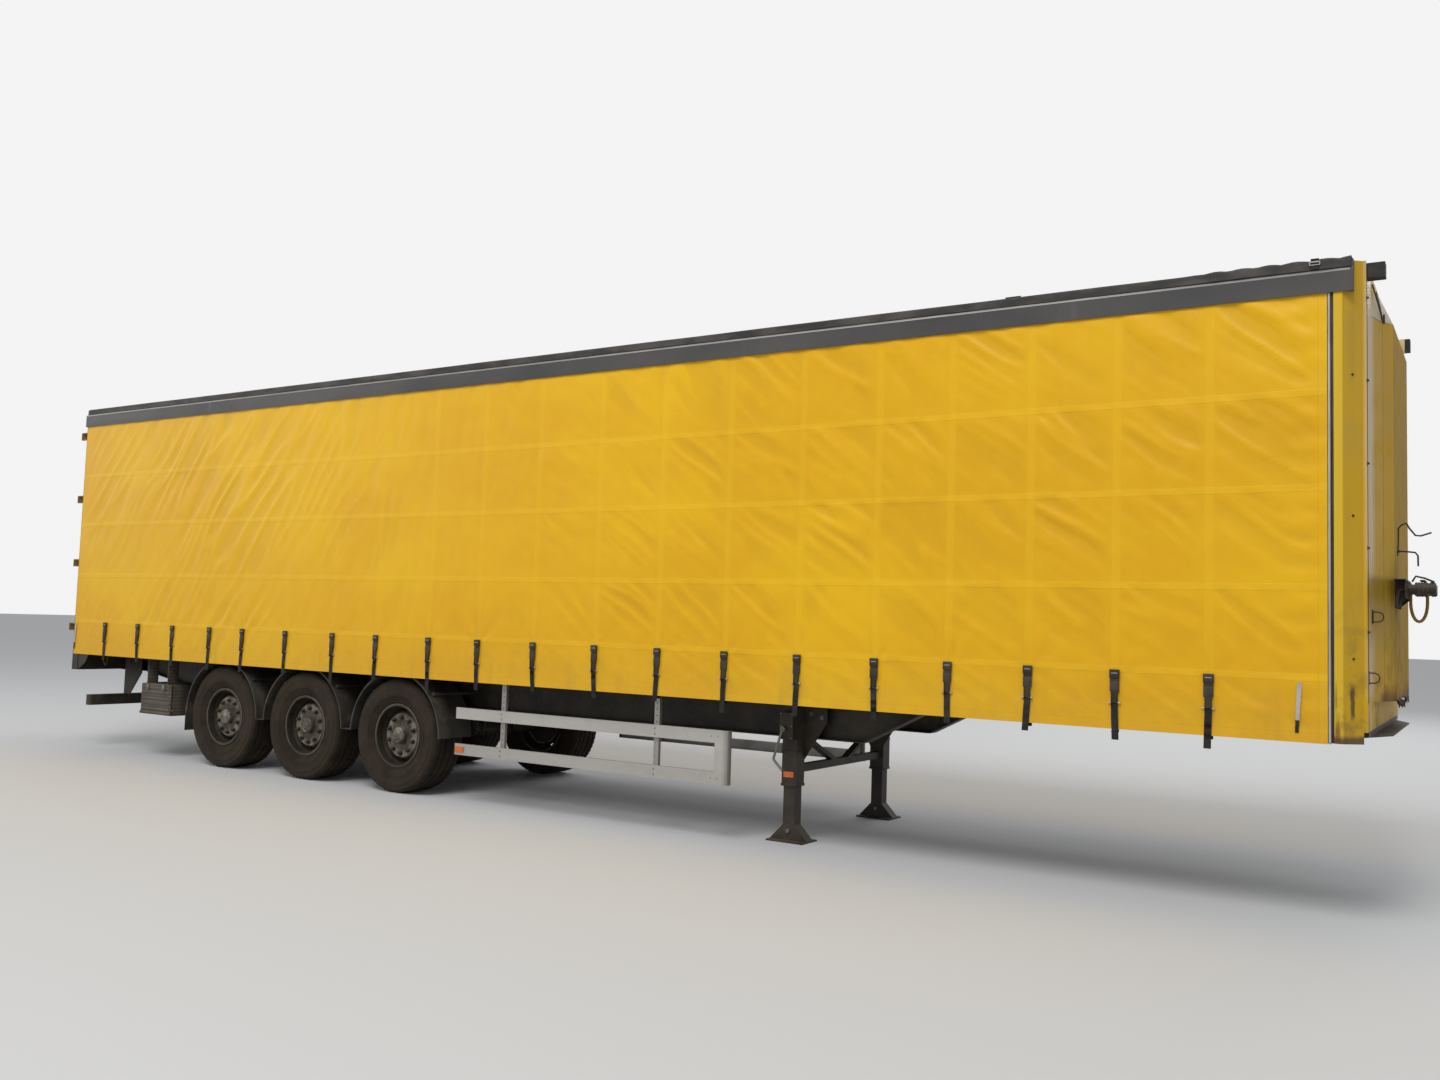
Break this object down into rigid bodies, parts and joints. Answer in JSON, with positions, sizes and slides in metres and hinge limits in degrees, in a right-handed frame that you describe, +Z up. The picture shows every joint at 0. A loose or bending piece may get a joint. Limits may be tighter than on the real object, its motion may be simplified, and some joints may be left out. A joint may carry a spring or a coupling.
{
  "type": "semi trailer",
  "caption": "Three-axle curtain-sided semi trailer with a raised front wall, sliding side curtains, hinged rear doors, landing legs, side guards and a kingpin coupling.",
  "frame": {"origin": "on the ground under the middle of the overall length and width", "axes": "+X towards the towing vehicle, +Y to the trailer's left, +Z up"},
  "size_m": [14.066, 2.5866, 4.0123],
  "materials": {
    "painted_chassis": "satin black paint, dusty",
    "painted_yellow": "gloss yellow paint",
    "painted_rail": "satin dark grey paint",
    "curtain_tarp": "glossy coated fabric",
    "roof_tarp": "coated fabric",
    "webbing": "black webbing with steel buckles",
    "aluminium": "mill finish",
    "galvanised": "galvanised",
    "timber": "phenolic-faced plywood",
    "steel": "machined and greased",
    "tyre": "worn and dusty",
    "rim": "silver paint",
    "rubber": "moulded rubber",
    "black_plastic": "moulded",
    "grey_plastic": "moulded and ribbed",
    "lamp": "red lens",
    "reflector": "orange lens"
  },
  "bodies": {
    "trailer": {"air_springs": "rubber", "air_tanks": "painted_chassis", "axles": "painted_chassis", "brake_chambers": "painted_chassis", "cantrails": "painted_rail", "coupling_bracket": "painted_chassis", "cross_members": "painted_chassis", "curtain_left": "curtain_tarp", "curtain_right": "curtain_tarp", "curtain_straps": "webbing", "front_buffers": "rubber", "front_posts": "painted_yellow", "front_sill": "painted_chassis", "front_wall": "painted_yellow", "hangers": "painted_chassis", "kingpin": "steel", "landing_legs": "painted_chassis", "leg_brace": "painted_chassis", "leg_gear": "painted_chassis", "leg_shaft": "painted_chassis", "load_floor": "timber", "main_beams": "painted_chassis", "mudguards": "black_plastic", "nose_panel": "painted_yellow", "pillars": "galvanised", "rear_header": "painted_rail", "rear_lamps": "lamp", "rear_posts": "painted_yellow", "rear_sill": "painted_chassis", "roof_bows": "aluminium", "roof_sheet": "roof_tarp", "rubbing_plate": "painted_chassis", "side_guards": "aluminium", "side_raves": "painted_chassis", "side_reflectors": "reflector", "side_slats": "aluminium", "tension_poles": "aluminium", "tool_box": "grey_plastic", "trailing_arms": "painted_chassis", "underrun_bar": "painted_chassis"},
    "door_left": {"door_left": "painted_yellow", "lock_rods_left": "galvanised"},
    "door_right": {"door_right": "painted_yellow", "lock_rods_right": "galvanised"},
    "tool_box_lid": {"tool_box_lid": "grey_plastic"},
    "wheel_left_1": {"tyre_left_1": "tyre", "wheel_left_1": "rim"},
    "wheel_left_2": {"tyre_left_2": "tyre", "wheel_left_2": "rim"},
    "wheel_left_3": {"tyre_left_3": "tyre", "wheel_left_3": "rim"},
    "wheel_right_1": {"tyre_right_1": "tyre", "wheel_right_1": "rim"},
    "wheel_right_2": {"tyre_right_2": "tyre", "wheel_right_2": "rim"},
    "wheel_right_3": {"tyre_right_3": "tyre", "wheel_right_3": "rim"}
  },
  "joints": [
    {"name": "wheel_right_1_spin", "type": "hinge", "parent": "trailer", "child": "wheel_right_1", "pos_m": [-4.095, -1.02, 0.536], "axis": [0, 1, 0], "continuous": true},
    {"name": "wheel_right_2_spin", "type": "hinge", "parent": "trailer", "child": "wheel_right_2", "pos_m": [-2.782, -1.02, 0.536], "axis": [0, 1, 0], "continuous": true},
    {"name": "wheel_right_3_spin", "type": "hinge", "parent": "trailer", "child": "wheel_right_3", "pos_m": [-1.451, -1.02, 0.536], "axis": [0, 1, 0], "continuous": true},
    {"name": "wheel_left_1_spin", "type": "hinge", "parent": "trailer", "child": "wheel_left_1", "pos_m": [-4.095, 1.02, 0.536], "axis": [0, 1, 0], "continuous": true},
    {"name": "wheel_left_2_spin", "type": "hinge", "parent": "trailer", "child": "wheel_left_2", "pos_m": [-2.782, 1.02, 0.536], "axis": [0, 1, 0], "continuous": true},
    {"name": "wheel_left_3_spin", "type": "hinge", "parent": "trailer", "child": "wheel_left_3", "pos_m": [-1.451, 1.02, 0.536], "axis": [0, 1, 0], "continuous": true},
    {"name": "door_right_hinge", "type": "hinge", "parent": "trailer", "child": "door_right", "pos_m": [-7.017, -1.257, 2.55], "axis": [0, 0, 1], "range_deg": [0, 270]},
    {"name": "door_left_hinge", "type": "hinge", "parent": "trailer", "child": "door_left", "pos_m": [-7.017, 1.257, 2.55], "axis": [0, 0, -1], "range_deg": [0, 270]},
    {"name": "tool_box_lid_hinge", "type": "hinge", "parent": "trailer", "child": "tool_box_lid", "pos_m": [-5.287, -1.2065, 0.489], "axis": [1, 0, 0], "range_deg": [0, 95]}
  ]
}
